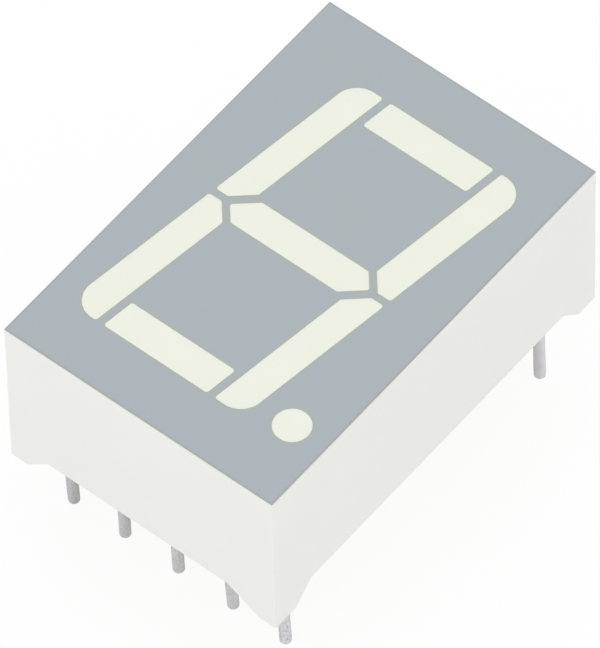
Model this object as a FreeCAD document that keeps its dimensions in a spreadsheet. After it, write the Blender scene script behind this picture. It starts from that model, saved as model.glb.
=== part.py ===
# Seven-segment numeric display with a decimal point, one digit, ten round pins.
# Frame: the origin is the centre of the pin pattern in the plane of the feet, +X points to the
# digit's right, +Y to its top and +Z out of its face. Lengths are millimetres, angles degrees.
import FreeCAD, Part
import math
import os
import Sketcher
from FreeCAD import Placement, Rotation, Vector

SIZES = {
    # Moulded housing
    "body_width": 12.6,
    "body_length": 19.0,
    "body_height": 8.0,
    "corner_round": 0.05,
    "wall": 0.5,
    "recess_round": 0.3,
    "foot_rise": 0.92,
    "foot_left": 0.8,
    "ramp_left": 1.0,
    "foot_right": 0.73,
    "ramp_right": 1.55,
    "foot_below": 1.2,
    "foot_above": 1.03,
    "ramp_along": 0.9,
    "core_side": 1.08,
    "core_end": 0.9,
    "core_roof": 1.65,
    "core_round": 0.5,
    # Printed mask on the face
    "print_thickness": 0.05,
    "print_inset": 0.02,
    # Digit as seen on the face
    "digit_side": 2.175,
    "digit_end": 2.325,
    "digit_left": 0.13,
    "digit_up": 0.065,
    "slant": 7.9,
    "bar_width": 1.345,
    "bar_height": 1.44,
    "gap_end": 0.335,
    "gap_middle": 0.3,
    "gap_to_b_e": 0.27,
    "gap_to_c_f": 0.37,
    "bevel_rise": 0.9,
    "outer_round": 1.0,
    "outer_flats": 5,
    "small_round": 0.13,
    "point_radius": 0.75,
    "point_side": 1.64,
    "point_end": 3.2,
    # Small ends of the funnels, over the chips
    "window_share": 0.34,
    "window_width": 0.85,
    # Chips and their wires
    "chip_side": 0.3,
    "chip_height": 0.22,
    "bond_pad_side": 0.12,
    "bond_pad_height": 0.02,
    "wire_radius": 0.02,
    "wire_rise": 0.16,
    "wire_crest": 0.25,
    "wire_foot": 0.06,
    "wire_span": 0.55,
    # Circuit board and its copper
    "board_lift": 1.25,
    "board_thickness": 1.0,
    "board_clearance": 0.08,
    "board_round": 0.35,
    "copper_thickness": 0.035,
    "track_width": 0.3,
    "chip_land": 0.5,
    "wire_land": 0.34,
    "track_margin": 0.5,
    # Pins, their holes and solder
    "pin_side": 1.22,
    "pin_end": 1.88,
    "pin_radius": 0.24,
    "pin_reach": 4.0,
    "pin_tip_bevel": 0.1,
    "pin_head": 0.35,
    "tin_coat": 0.02,
    "tin_runout": 0.52,
    "head_clearance": 0.2,
    "hole_clearance": 0.03,
    "land_half": 0.48,
    "solder_radius": 0.42,
    "solder_rim": 0.03,
    "solder_height": 0.5,
    # Resin bead that seals the board into the housing
    "bead_width": 0.12,
    "bead_height": 0.2,
}

# What follows from the sizes, as formulas of the same sheet
DERIVED = {
    "seat": "=board_lift + board_thickness + copper_thickness",
    "face": "=body_height - print_thickness",
    "recess_width": "=body_width - 2 * wall",
    "recess_length": "=body_length - 2 * wall",
    "digit_width": "=body_width - 2 * digit_side",
    "digit_height": "=body_length - 2 * digit_end",
    "point_right": "=body_width / 2 - point_side",
    "point_down": "=body_length / 2 - point_end",
    "window_length": "=digit_width * window_share",
    "core_width": "=digit_width - 2 * bar_width - 2 * core_side",
    "core_length": "=(digit_height - 3 * bar_height) / 2 - 2 * core_end",
    "core_rise": "=(digit_height - bar_height) / 4",
    "core_depth": "=face - seat - core_roof",
    "pin_pitch": "=(body_width - 2 * pin_side) / 4",
    "row_spacing": "=body_length - 2 * pin_end",
    "pin_top": "=seat + pin_head",
    "wire_core": "=pin_radius - tin_coat",
    "hole_radius": "=pin_radius + hole_clearance",
}

doc = FreeCAD.newDocument("SevenSegmentDisplay")
sheet = doc.addObject("Spreadsheet::Sheet", "Sizes")
for row, (alias, value) in enumerate({**SIZES, **DERIVED}.items(), start=1):
    sheet.set(f"A{row}", alias)
    sheet.set(f"B{row}", str(value))
    sheet.setAlias(f"B{row}", alias)
doc.recompute()

nodes = []


def size(alias):
    """The value that the sheet holds under an alias."""
    return float(sheet.get(alias))


def keep(piece, name):
    """Give a finished piece its own name and list it for export."""
    piece.Label = name
    nodes.append(piece)
    return piece


def bind(target, **expressions):
    """Tie properties of an object to expressions on the sheet."""
    for prop, text in expressions.items():
        target.setExpression(prop.replace("__", "."), text)


def new_body(name):
    return doc.addObject("PartDesign::Body", name)


def origin_plane(body, role):
    return next(item for item in body.Origin.OriginFeatures if item.Role == role)


def new_sketch(body, name, level=None, role="XY_Plane"):
    """A sketch on one of the body's own origin planes, raised to a level."""
    sketch = body.newObject("Sketcher::SketchObject", name)
    sketch.AttachmentSupport = (origin_plane(body, role), [""])
    sketch.MapMode = "FlatFace"
    if level:
        sketch.setExpression("AttachmentOffset.Base.z", level)
    return sketch


def bound_distance(sketch, kind, geometry, point, text):
    """Hold one coordinate of a sketch point, counted from the origin, to an expression."""
    index = sketch.addConstraint(Sketcher.Constraint(kind, -1, 1, geometry, point, 1.0))
    sketch.setExpression(f"Constraints[{index}]", text)


def bound_line(sketch, corners, closed=False):
    """Straight lines from corner to corner, every corner held by two expressions."""
    count = len(corners)
    first = sketch.GeometryCount
    turn = 2 * math.pi / count
    ring = [Vector(math.cos(turn * k), math.sin(turn * k), 0) for k in range(count)]
    lines = count if closed else count - 1
    for k in range(lines):
        sketch.addGeometry(Part.LineSegment(ring[k], ring[(k + 1) % count]))
    for k in range(lines if closed else lines - 1):
        following = first + (k + 1) % count
        sketch.addConstraint(Sketcher.Constraint("Coincident", first + k, 2, following, 1))
    for k, (across, along) in enumerate(corners):
        line, end = (first + k, 1) if k < lines else (first + k - 1, 2)
        bound_distance(sketch, "DistanceX", line, end, across)
        bound_distance(sketch, "DistanceY", line, end, along)


def bound_polygon(sketch, corners):
    """Closed outline of straight lines with every corner held by two expressions."""
    bound_line(sketch, corners, closed=True)


# Corners of a square in the order that turns left
SQUARE = ((-1, -1), (1, -1), (1, 1), (-1, 1))


def bound_rectangle(sketch, width, length, centre_x="0", centre_y="0"):
    """Rectangle of a bound width and length about a bound centre."""
    bound_polygon(sketch, [(f"{centre_x} + {sx} * ({width}) / 2", f"{centre_y} + {sy} * ({length}) / 2")
                           for sx, sy in SQUARE])


def bound_circle(sketch, radius, centre_x="0", centre_y="0"):
    """Circle of a bound radius about a bound centre."""
    index = sketch.addGeometry(Part.Circle(Vector(0, 0, 0), Vector(0, 0, 1), 1.0))
    ring = sketch.addConstraint(Sketcher.Constraint("Radius", index, 1.0))
    sketch.setExpression(f"Constraints[{ring}]", radius)
    bound_distance(sketch, "DistanceX", index, 3, centre_x)
    bound_distance(sketch, "DistanceY", index, 3, centre_y)


def pin_circles(sketch, radius):
    """One circle at each of the ten pins."""
    for across, along in PIN_PLACES:
        bound_circle(sketch, radius, across, along)


def pad(body, sketch, name, length, reverse=False):
    feature = body.newObject("PartDesign::Pad", name)
    feature.Profile = sketch
    feature.Reversed = reverse
    feature.setExpression("Length", length)
    doc.recompute()
    return feature


def pocket(body, sketch, name, length, reverse=True, midplane=False):
    """Cut a sketch out of the body; a cut that takes nothing away is an error."""
    before = body.Shape.Volume
    feature = body.newObject("PartDesign::Pocket", name)
    feature.Profile = sketch
    feature.Reversed = reverse
    feature.Midplane = midplane
    feature.setExpression("Length", length)
    doc.recompute()
    if not body.Shape.Volume < before:
        raise RuntimeError(f"{name} removes nothing")
    return feature


def fillet(body, name, radius, chosen):
    """Round the edges of the body that the test chooses."""
    tip = body.Tip
    edges = [f"Edge{k}" for k, edge in enumerate(tip.Shape.Edges, start=1) if chosen(edge)]
    feature = body.newObject("PartDesign::Fillet", name)
    feature.Base = (tip, edges)
    feature.setExpression("Radius", radius)
    doc.recompute()
    return feature


def upright(edge):
    """Whether an edge is straight and runs along Z."""
    ends = [vertex.Point for vertex in edge.Vertexes]
    return len(ends) == 2 and (ends[0] - ends[1]).cross(Vector(0, 0, 1)).Length < 1e-6


# Pins 1 to 5 run left to right below the digit, pins 6 to 10 right to left above it
PIN_PLACES = [(f"{step} * Sizes.pin_pitch", "-Sizes.row_spacing / 2") for step in (-2, -1, 0, 1, 2)]
PIN_PLACES += [(f"{step} * Sizes.pin_pitch", "Sizes.row_spacing / 2") for step in (2, 1, 0, -1, -2)]


def pin_point(number):
    """Centre of a pin, counted from 1."""
    step = number - 3 if number <= 5 else 8 - number
    side = -1 if number <= 5 else 1
    return Vector(step * size("pin_pitch"), side * size("row_spacing") / 2, 0)


# The digit is drawn upright, (u, v) from its middle, and leans over by the slant
def lean(u, v):
    """A point of the upright digit in the part's frame."""
    slope = math.tan(math.radians(size("slant")))
    return Vector(u + v * slope - size("digit_left"), v + size("digit_up"), 0)


def rounded(corners):
    """Outline with its corners rounded by flats, from each sharp corner, its radius and its flats.

    The outline turns left. The flats of a corner touch its round, in even steps from side to side.
    """
    drawn = []
    for k, (here, radius, flats) in enumerate(corners):
        before = (corners[k - 1][0] - here).normalize()
        after = (corners[(k + 1) % len(corners)][0] - here).normalize()
        half = before.getAngle(after) / 2
        inward = (before + after).normalize()
        centre = here + inward * (radius / math.sin(half))
        step = (math.pi - 2 * half) / (flats + 1)
        for place in range(flats + 1):
            turned = Rotation(Vector(0, 0, 1), math.degrees(step * (place - flats / 2)))
            drawn.append(centre - turned.multVec(inward) * (radius / math.cos(step / 2)))
    return drawn


def draw_outline(sketch, corners):
    """Closed outline of straight lines through fixed corners."""
    for start, end in zip(corners, corners[1:] + corners[:1]):
        sketch.addGeometry(Part.LineSegment(start, end))


def raised(corners, level):
    """The same corners at a level."""
    return [Vector(corner.x, corner.y, level) for corner in corners]


def flat_sided(low, high):
    """Solid between two level outlines whose sides are parallel, pair by pair."""
    walls = [Part.Face(Part.makePolygon([low[k - 1], low[k], high[k], high[k - 1], low[k - 1]]))
             for k in range(len(low))]
    ends = [Part.Face(Part.makePolygon(ring + ring[:1])) for ring in (low, high)]
    shell = Part.makeShell(walls + ends)
    shell.sewShape()
    return Part.makeSolid(shell)


class Bar:
    """One lit bar: an upright box with some corners cut off at 45 degrees, rounded all round."""

    def __init__(self, left, right, low, high, cuts, heading, big_corner=None):
        self.middle = ((left + right) / 2, (low + high) / 2)
        self.half = ((right - left) / 2, (high - low) / 2)
        self.cuts = cuts
        self.heading = heading
        self.big_corner = big_corner

    def outline(self, scale_u=1.0, scale_v=1.0):
        """Corners in the part's frame, drawn in towards the middle.

        Cuts and radii shrink as the bar's width does, so every side stays parallel to itself.
        """
        half_u = self.half[0] * scale_u
        half_v = self.half[1] * scale_v
        shrink = scale_u if self.half[0] < self.half[1] else scale_v
        small = (size("small_round") * shrink, 1)
        big = (size("outer_round") * shrink, round(size("outer_flats")))
        sharp = []
        for side_u, side_v in SQUARE:
            corner = (side_u * half_u, side_v * half_v)
            if (side_u, side_v) not in self.cuts:
                sharp.append((corner, big if (side_u, side_v) == self.big_corner else small))
                continue
            cut = self.cuts[side_u, side_v] * shrink
            on_side = (corner[0], corner[1] - side_v * cut)
            on_end = (corner[0] - side_u * cut, corner[1])
            pair = [(on_side, small), (on_end, small)]
            sharp += pair if side_u == side_v else pair[::-1]
        doubled = [k for k, (corner, _) in enumerate(sharp) if math.dist(corner, sharp[k - 1][0]) < 1e-6]
        return rounded([(lean(self.middle[0] + u, self.middle[1] + v), *kind)
                        for k, ((u, v), kind) in enumerate(sharp) if k not in doubled])

    def window(self):
        """Outline of the small end, as long and wide as the window over a chip."""
        width = size("window_width") / 2
        length = size("window_length") / 2
        wanted = (width, length) if self.half[0] < self.half[1] else (length, width)
        return self.outline(wanted[0] / self.half[0], wanted[1] / self.half[1])

    def mouth(self, sketch):
        """Draw the large end."""
        draw_outline(sketch, self.outline())

    def funnel(self):
        """Solid from the window at the seat to the mouth at the face."""
        return flat_sided(raised(self.window(), size("seat")), raised(self.outline(), size("face")))

    def centre(self):
        return lean(*self.middle)


class Point:
    """The round decimal point."""

    def __init__(self, heading):
        self.heading = heading

    def mouth(self, sketch):
        """Draw the large end."""
        bound_circle(sketch, "Sizes.point_radius", "Sizes.point_right", "-Sizes.point_down")

    def funnel(self):
        """Straight round well from the seat to the face."""
        base = self.centre() + Vector(0, 0, size("seat"))
        return Part.makeCylinder(size("point_radius"), size("face") - size("seat"), base)

    def centre(self):
        return Vector(size("point_right"), -size("point_down"), 0)


def horizontal_bar(side, heading):
    """Top bar for side 1 and bottom bar for side -1: a parallelogram between the uprights."""
    reach = size("digit_width") / 2 - size("bar_width") - size("gap_end")
    outer = side * size("digit_height") / 2
    inner = outer - side * size("bar_height")
    return Bar(-reach, reach, min(inner, outer), max(inner, outer), {}, heading)


def upright_bar(side, half, heading):
    """Bar right (side 1) or left (-1), above (half 1) or below (-1), bevelled at the middle."""
    outer = side * size("digit_width") / 2
    inner = outer - side * size("bar_width")
    near = half * size("gap_middle") / 2
    far = half * size("digit_height") / 2
    cuts = {(-side, -half): size("bevel_rise") - near * half}
    return Bar(min(inner, outer), max(inner, outer), min(near, far), max(near, far), cuts, heading,
               (side, half))


def middle_bar(heading):
    """Six-sided bar whose points fit between the bevels of the uprights.

    A wider gap on one side of a point moves it along the bevel on its other side.
    """
    meeting = size("digit_width") / 2 - size("bar_width") + size("bevel_rise")
    to_b_e, to_c_f = (meeting - size(gap) * math.sqrt(2) for gap in ("gap_to_b_e", "gap_to_c_f"))
    tip = (to_b_e + to_c_f) / 2
    half = size("bar_height") / 2
    cuts = {(side_u, side_v): half - side_u * side_v * (to_b_e - tip) for side_u, side_v in SQUARE}
    return Bar(-tip, tip, -half, half, cuts, heading)


# Headings, in degrees from +X, along which each chip's wire leaves for its track
UP = 90 - size("slant")
LIGHTS = {
    "segment_a": horizontal_bar(1, 0),
    "segment_b": upright_bar(1, 1, UP),
    "segment_c": upright_bar(1, -1, UP + 180),
    "segment_d": horizontal_bar(-1, 180),
    "segment_e": upright_bar(-1, -1, UP + 180),
    "segment_f": upright_bar(-1, 1, UP),
    "segment_g": middle_bar(180),
    "decimal_point": Point(-45),
}


def short(name):
    """Short name of a light, as its chip, wire and track carry it."""
    return name.split("_")[1]


def wire_step(light):
    """From the middle of a light to its wire's landing; the chip lies as far the other way."""
    angle = math.radians(light.heading)
    return Vector(math.cos(angle), math.sin(angle), 0) * (size("wire_span") / 2)


# Funnel that leads a chip's light to the face: the housing is hollow there and the resin fills it
def build_funnel(name, light):
    funnel = doc.addObject("Part::Feature", f"Funnel_{short(name)}")
    funnel.Shape = light.funnel()
    return funnel


# Moulded housing: outer block, corner feet, board recess, cores, pin-head troughs and funnels
def build_housing(funnels):
    body = new_body("Housing")
    outline = new_sketch(body, "HousingOutline")
    bound_rectangle(outline, "Sizes.body_width", "Sizes.body_length")
    pad(body, outline, "HousingBlock", "Sizes.face")
    fillet(body, "HousingCorners", "Sizes.corner_round", upright)

    ends = new_sketch(body, "NotchAcross", role="XZ_Plane")
    left = "-Sizes.body_width / 2 + Sizes.foot_left"
    right = "Sizes.body_width / 2 - Sizes.foot_right"
    bound_polygon(ends, [(left, "0"), (right, "0"), (f"{right} - Sizes.ramp_right", "Sizes.foot_rise"),
                         (f"{left} + Sizes.ramp_left", "Sizes.foot_rise")])
    pocket(body, ends, "FootGapsAtEnds", "2 * Sizes.body_length", midplane=True)
    sides = new_sketch(body, "NotchAlong", role="YZ_Plane")
    below = "-Sizes.body_length / 2 + Sizes.foot_below"
    above = "Sizes.body_length / 2 - Sizes.foot_above"
    bound_polygon(sides, [(below, "0"), (above, "0"), (f"{above} - Sizes.ramp_along", "Sizes.foot_rise"),
                          (f"{below} + Sizes.ramp_along", "Sizes.foot_rise")])
    pocket(body, sides, "FootGapsAtSides", "2 * Sizes.body_width", midplane=True)

    recess = new_sketch(body, "RecessOutline")
    bound_rectangle(recess, "Sizes.recess_width", "Sizes.recess_length")
    pocket(body, recess, "BoardRecess", "Sizes.seat")
    fillet(body, "RecessCorners", "Sizes.recess_round",
           lambda edge: upright(edge)
           and abs(abs(edge.CenterOfMass.x) - size("recess_width") / 2) < 1e-6
           and abs(abs(edge.CenterOfMass.y) - size("recess_length") / 2) < 1e-6)

    cores = new_sketch(body, "CoreOutlines", "Sizes.seat")
    for side in (1, -1):
        middle = lean(0, side * size("core_rise"))
        half_u = size("core_width") / 2
        half_v = size("core_length") / 2
        corners = [middle + Vector(su * half_u, sv * half_v, 0) for su, sv in SQUARE]
        draw_outline(cores, rounded([(corner, size("core_round"), 1) for corner in corners]))
    pocket(body, cores, "Cores", "Sizes.core_depth")

    heads = new_sketch(body, "PinHeadTroughs", "Sizes.seat")
    trough = "2 * (Sizes.pin_radius + Sizes.head_clearance)"
    for row in ("Sizes.row_spacing / 2", "-Sizes.row_spacing / 2"):
        bound_rectangle(heads, f"4 * Sizes.pin_pitch + {trough}", trough, centre_y=row)
    pocket(body, heads, "PinHeadRelief", "Sizes.pin_head + Sizes.head_clearance")

    cavities = doc.addObject("Part::Compound", "Funnels")
    cavities.Links = list(funnels.values())
    housing = doc.addObject("Part::Cut", "FunnelledHousing")
    housing.Base = body
    housing.Tool = cavities
    doc.recompute()
    return keep(housing, "reflector_housing")


# Printed mask: the grey field of the face, open over every light
def build_print():
    body = new_body("Print")
    body.setExpression("Placement.Base.z", "Sizes.face")
    field = new_sketch(body, "PrintField")
    bound_rectangle(field, "Sizes.body_width - 2 * Sizes.print_inset",
                    "Sizes.body_length - 2 * Sizes.print_inset")
    pad(body, field, "PrintLayer", "Sizes.print_thickness")
    for name, light in LIGHTS.items():
        opening = new_sketch(body, f"Opening_{short(name)}")
        light.mouth(opening)
        pocket(body, opening, f"Open_{short(name)}", "Sizes.print_thickness")
    return keep(body, "face_print")


# Chip: a square die with a bond pad on its top
def build_chip(name, light):
    body = new_body(f"Chip_{short(name)}")
    die = new_sketch(body, f"Die_{short(name)}")
    bound_rectangle(die, "Sizes.chip_side", "Sizes.chip_side")
    pad(body, die, f"DieBlock_{short(name)}", "Sizes.chip_height")
    spot = new_sketch(body, f"BondPad_{short(name)}", "Sizes.chip_height")
    bound_rectangle(spot, "Sizes.bond_pad_side", "Sizes.bond_pad_side")
    pad(body, spot, f"BondPadBlock_{short(name)}", "Sizes.bond_pad_height")
    place = light.centre() - wire_step(light)
    body.Placement = Placement(place, Rotation(Vector(0, 0, 1), light.heading))
    body.setExpression("Placement.Base.z", "Sizes.seat")
    return keep(body, f"led_chip_{short(name)}")


# Bond wire: up from the chip, across, down and onto the land; so thin that six sides pass for round
def build_wire(name, light):
    tag = short(name)
    start = "(Sizes.chip_height + Sizes.bond_pad_height)"
    crest = f"({start} + Sizes.wire_rise)"
    path = doc.addObject("Sketcher::SketchObject", f"WirePath_{tag}")
    path.Placement = Placement(Vector(0, 0, 0), Rotation(Vector(1, 0, 0), 90))
    bound_line(path, [("0", start), ("0", crest), ("Sizes.wire_crest", crest),
                      ("Sizes.wire_span", "Sizes.wire_foot"), ("Sizes.wire_span", "0")])
    section = doc.addObject("Part::RegularPolygon", f"WireSection_{tag}")
    section.Polygon = 6
    bind(section, Circumradius="Sizes.wire_radius", Placement__Base__z=start)
    wire = doc.addObject("Part::Sweep", f"Wire_{tag}")
    wire.Sections = [section]
    wire.Spine = path
    wire.Solid = True
    wire.Transition = "Right corner"
    place = light.centre() - wire_step(light)
    wire.Placement = Placement(place, Rotation(Vector(0, 0, 1), light.heading))
    wire.setExpression("Placement.Base.z", "Sizes.seat")
    doc.recompute()
    return keep(wire, f"bond_wire_{tag}")


# Light pipe: the resin that fills a funnel and its opening in the mask, cast round chip and wire
def build_pipe(name, light, funnel, chip, wire):
    tag = short(name)
    mouth = doc.addObject("Sketcher::SketchObject", f"Mouth_{tag}")
    light.mouth(mouth)
    top = doc.addObject("Part::Extrusion", f"PipeTop_{tag}")
    top.Base = mouth
    top.DirMode = "Custom"
    top.Dir = Vector(0, 0, 1)
    top.Solid = True
    bind(top, LengthFwd="Sizes.print_thickness", Placement__Base__z="Sizes.face")
    resin = doc.addObject("Part::MultiFuse", f"Resin_{tag}")
    resin.Shapes = [funnel, top]
    resin.Refine = True
    buried = doc.addObject("Part::Compound", f"Buried_{tag}")
    buried.Links = [chip, wire]
    pipe = doc.addObject("Part::Cut", f"Pipe_{tag}")
    pipe.Base = resin
    pipe.Tool = buried
    doc.recompute()
    return keep(pipe, name)


# Circuit board with ten pin holes
def build_board():
    body = new_body("Board")
    body.setExpression("Placement.Base.z", "Sizes.board_lift")
    outline = new_sketch(body, "BoardOutline")
    bound_rectangle(outline, "Sizes.recess_width - 2 * Sizes.board_clearance",
                    "Sizes.recess_length - 2 * Sizes.board_clearance")
    pad(body, outline, "BoardPlate", "Sizes.board_thickness")
    fillet(body, "BoardCorners", "Sizes.board_round", upright)
    holes = new_sketch(body, "BoardHoles")
    pin_circles(holes, "Sizes.hole_radius")
    pocket(body, holes, "PinHoles", "Sizes.board_thickness")
    return keep(body, "circuit_board")


def plate(corners):
    """Copper of the usual thickness with straight sides from corner to corner."""
    face = Part.Face(Part.makePolygon(corners + corners[:1]))
    return face.extrude(Vector(0, 0, size("copper_thickness")))


def square_land(centre, side, heading):
    """Square land whose sides follow a heading."""
    turned = Rotation(Vector(0, 0, 1), heading)
    return plate([centre + turned.multVec(Vector(su, sv, 0) * (side / 2)) for su, sv in SQUARE])


def octagon(half, centre=Vector(0, 0, 0)):
    """Corners of an eight-sided outline that is twice a half wide across its flats."""
    corners = [Vector(side_u * half, side_v * half, 0) for side_u, side_v in SQUARE]
    return [centre + corner for corner in rounded([(corner, half, 1) for corner in corners])]


def strip(points):
    """Track of the usual width along a bent line, mitred at its bends."""
    points = points[:1] + [here for last, here in zip(points, points[1:]) if (here - last).Length > 1e-6]
    runs = [(end - start).normalize() for start, end in zip(points, points[1:])]
    sides = []
    for here, before, after in zip(points, runs[:1] + runs, runs + runs[-1:]):
        along = (before + after).normalize()
        across = Vector(-along.y, along.x, 0)
        sides.append((here, across * (size("track_width") / 2 / along.dot(before))))
    return plate([here - across for here, across in sides] + [here + across for here, across in sides[::-1]])


def dogleg(start, end):
    """Way from one point to another: straight along the longer axis, then at 45 degrees."""
    run = end - start
    if abs(run.y) > abs(run.x):
        knee = Vector(start.x, end.y - math.copysign(abs(run.x), run.y), 0)
    else:
        knee = Vector(end.x - math.copysign(abs(run.y), run.x), start.y, 0)
    return [start, knee, end]


def build_track(name, parts, pins):
    """One net of copper on the board's front, with a land round each of its pins."""
    lands = [plate(octagon(size("land_half"), pin_point(number))) for number in pins]
    whole = parts[0].multiFuse(parts[1:] + lands)
    for number in pins:
        bore = Part.makeCylinder(size("hole_radius"), size("copper_thickness"), pin_point(number))
        whole = whole.cut(bore)
    track = doc.addObject("Part::Feature", name.title().replace("_", ""))
    track.Shape = whole.removeSplitter()
    track.setExpression("Placement.Base.z", "Sizes.board_lift + Sizes.board_thickness")
    return keep(track, name)


# The pin that each light's own track leads to, and the two pins of the common net
PIN_OF = {"segment_a": 7, "segment_b": 6, "segment_c": 4, "segment_d": 2, "segment_e": 1,
          "segment_f": 9, "segment_g": 10, "decimal_point": 5}
COMMON_PINS = (3, 8)


# Copper: one track from each wire's land to its pin, and one common net under all chips
def build_copper():
    wire_end = {name: light.centre() + wire_step(light) for name, light in LIGHTS.items()}
    chip_at = {name: light.centre() - wire_step(light) for name, light in LIGHTS.items()}
    for name, number in PIN_OF.items():
        start = wire_end[name]
        way = dogleg(start, pin_point(number))
        if name == "segment_g":
            edge = size("recess_width") / 2 - size("board_clearance") - size("track_margin")
            way = [start] + dogleg(Vector(-edge, start.y, 0), pin_point(number))
        parts = [strip(way), square_land(start, size("wire_land"), LIGHTS[name].heading)]
        build_track(f"track_{short(name)}", parts, [number])

    upper = chip_at["segment_f"].y
    lower = chip_at["segment_e"].y
    high = Vector(lean(0, upper - size("digit_up")).x, upper, 0)
    low = Vector(lean(0, lower - size("digit_up")).x, lower, 0)
    turn = Vector(chip_at["decimal_point"].x, lower, 0)
    below, above = [pin_point(number) for number in COMMON_PINS]
    routes = [
        [above, chip_at["segment_a"], high, chip_at["segment_g"], low, chip_at["segment_d"], below],
        [chip_at["segment_f"], high, chip_at["segment_b"]],
        [chip_at["segment_e"], low, chip_at["segment_c"], turn, chip_at["decimal_point"]],
    ]
    lands = [square_land(chip_at[name], size("chip_land"), light.heading) for name, light in LIGHTS.items()]
    build_track("track_common", [strip(route) for route in routes] + lands, COMMON_PINS)


def stand_at_pin(piece, number):
    """Put a piece that was made about its own axis at a pin."""
    across, along = PIN_PLACES[number - 1]
    bind(piece, Placement__Base__x=across, Placement__Base__y=along)


# Pin: wire dipped in tin up to the feet, where the coat runs out and the bare wire goes on
def build_pin(number):
    body = new_body(f"Pin{number}")
    half = new_sketch(body, f"PinSection{number}", role="XZ_Plane")
    bound_polygon(half, [("0", "-Sizes.pin_reach"),
                         ("Sizes.pin_radius - Sizes.pin_tip_bevel", "-Sizes.pin_reach"),
                         ("Sizes.pin_radius", "Sizes.pin_tip_bevel - Sizes.pin_reach"),
                         ("Sizes.pin_radius", "0"),
                         ("Sizes.wire_core", "Sizes.tin_runout"),
                         ("Sizes.wire_core", "Sizes.pin_top"),
                         ("0", "Sizes.pin_top")])
    turned = body.newObject("PartDesign::Revolution", f"PinShank{number}")
    turned.Profile = half
    turned.ReferenceAxis = (half, ["V_Axis"])
    turned.Angle = 360
    stand_at_pin(body, number)
    return keep(body, f"pin_{number}")


# Solder: an eight-sided cone round the bare wire, on the board's back
def build_solder(number):
    cone = flat_sided(raised(octagon(size("wire_core") + size("solder_rim")), -size("solder_height")),
                      raised(octagon(size("solder_radius")), 0))
    passage = flat_sided(raised(octagon(size("wire_core")), -size("solder_height")),
                         raised(octagon(size("wire_core")), 0))
    joint = doc.addObject("Part::Feature", f"Solder{number}")
    joint.Shape = cone.cut(passage)
    stand_at_pin(joint, number)
    joint.setExpression("Placement.Base.z", "Sizes.board_lift")
    return keep(joint, f"solder_joint_{number}")


# Resin bead in the corner between the board's back and the housing wall
def build_bead():
    body = new_body("Bead")
    body.setExpression("Placement.Base.z", "Sizes.board_lift")
    ring = new_sketch(body, "BeadRing")
    bound_rectangle(ring, "Sizes.recess_width", "Sizes.recess_length")
    pad(body, ring, "BeadBlock", "Sizes.bead_height", reverse=True)
    fillet(body, "BeadOuterCorners", "Sizes.recess_round", upright)
    opening = new_sketch(body, "BeadOpening")
    bound_rectangle(opening, "Sizes.recess_width - 2 * Sizes.bead_width",
                    "Sizes.recess_length - 2 * Sizes.bead_width")
    pocket(body, opening, "BeadInside", "Sizes.bead_height", reverse=False)
    return keep(body, "resin_bead")


funnels = {name: build_funnel(name, light) for name, light in LIGHTS.items()}
build_housing(funnels)
build_print()
for name, light in LIGHTS.items():
    chip = build_chip(name, light)
    wire = build_wire(name, light)
    build_pipe(name, light, funnels[name], chip, wire)
build_board()
build_copper()
for number in range(1, len(PIN_PLACES) + 1):
    build_pin(number)
    build_solder(number)
build_bead()

doc.recompute()
for item in doc.Objects:
    if "Invalid" in item.State or "Error" in item.State:
        raise RuntimeError(f"{item.Label} failed: {item.State}")
for piece in nodes:
    if piece.Shape.isNull() or not piece.Shape.isValid():
        raise RuntimeError(f"{piece.Label} has no valid shape")

os.makedirs("parts", exist_ok=True)
for piece in nodes:
    piece.Shape.exportStep(f"parts/{piece.Label}.step")
print(len(nodes), "pieces written")
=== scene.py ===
"""Looks of a seven-segment numeric display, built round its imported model.

Lengths in this file are millimetres until a mesh is written, which is in metres. The frame is the
model's: +X to the digit's right, +Y to its top, +Z out of its face, origin at the middle of the
pin pattern in the plane of the feet.
"""

import logging
import math
from dataclasses import dataclass
from enum import Enum

import bpy
import numpy as np
from mathutils import Matrix, Vector
from mathutils.geometry import delaunay_2d_cdt


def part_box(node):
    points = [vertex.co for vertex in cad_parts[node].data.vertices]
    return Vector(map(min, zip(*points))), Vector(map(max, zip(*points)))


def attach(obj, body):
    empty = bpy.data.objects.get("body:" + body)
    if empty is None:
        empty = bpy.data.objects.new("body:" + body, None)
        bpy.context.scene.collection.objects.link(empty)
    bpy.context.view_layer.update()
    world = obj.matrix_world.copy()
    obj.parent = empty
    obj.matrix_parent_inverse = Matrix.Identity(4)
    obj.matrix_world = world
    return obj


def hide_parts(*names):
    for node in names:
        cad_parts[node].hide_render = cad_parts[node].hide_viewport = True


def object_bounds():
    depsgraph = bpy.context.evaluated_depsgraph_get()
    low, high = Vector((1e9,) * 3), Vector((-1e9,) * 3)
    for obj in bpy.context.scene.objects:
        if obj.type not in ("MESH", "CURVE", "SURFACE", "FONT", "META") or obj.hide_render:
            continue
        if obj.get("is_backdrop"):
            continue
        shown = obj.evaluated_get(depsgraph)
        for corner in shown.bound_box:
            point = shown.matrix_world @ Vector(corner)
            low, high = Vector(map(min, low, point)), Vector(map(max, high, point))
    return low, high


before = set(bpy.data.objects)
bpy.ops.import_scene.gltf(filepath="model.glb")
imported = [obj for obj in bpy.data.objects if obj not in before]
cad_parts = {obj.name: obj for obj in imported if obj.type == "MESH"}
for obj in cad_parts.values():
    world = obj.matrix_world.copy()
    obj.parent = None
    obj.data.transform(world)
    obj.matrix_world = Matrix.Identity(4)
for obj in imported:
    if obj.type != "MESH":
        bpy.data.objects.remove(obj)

Colour = tuple[float, float, float, float]
Triple = tuple[float, float, float]
Span = tuple[float, float]
Faces = list[tuple[int, ...]]
Socket = bpy.types.NodeSocket
Input = Socket | float | Colour

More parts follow.
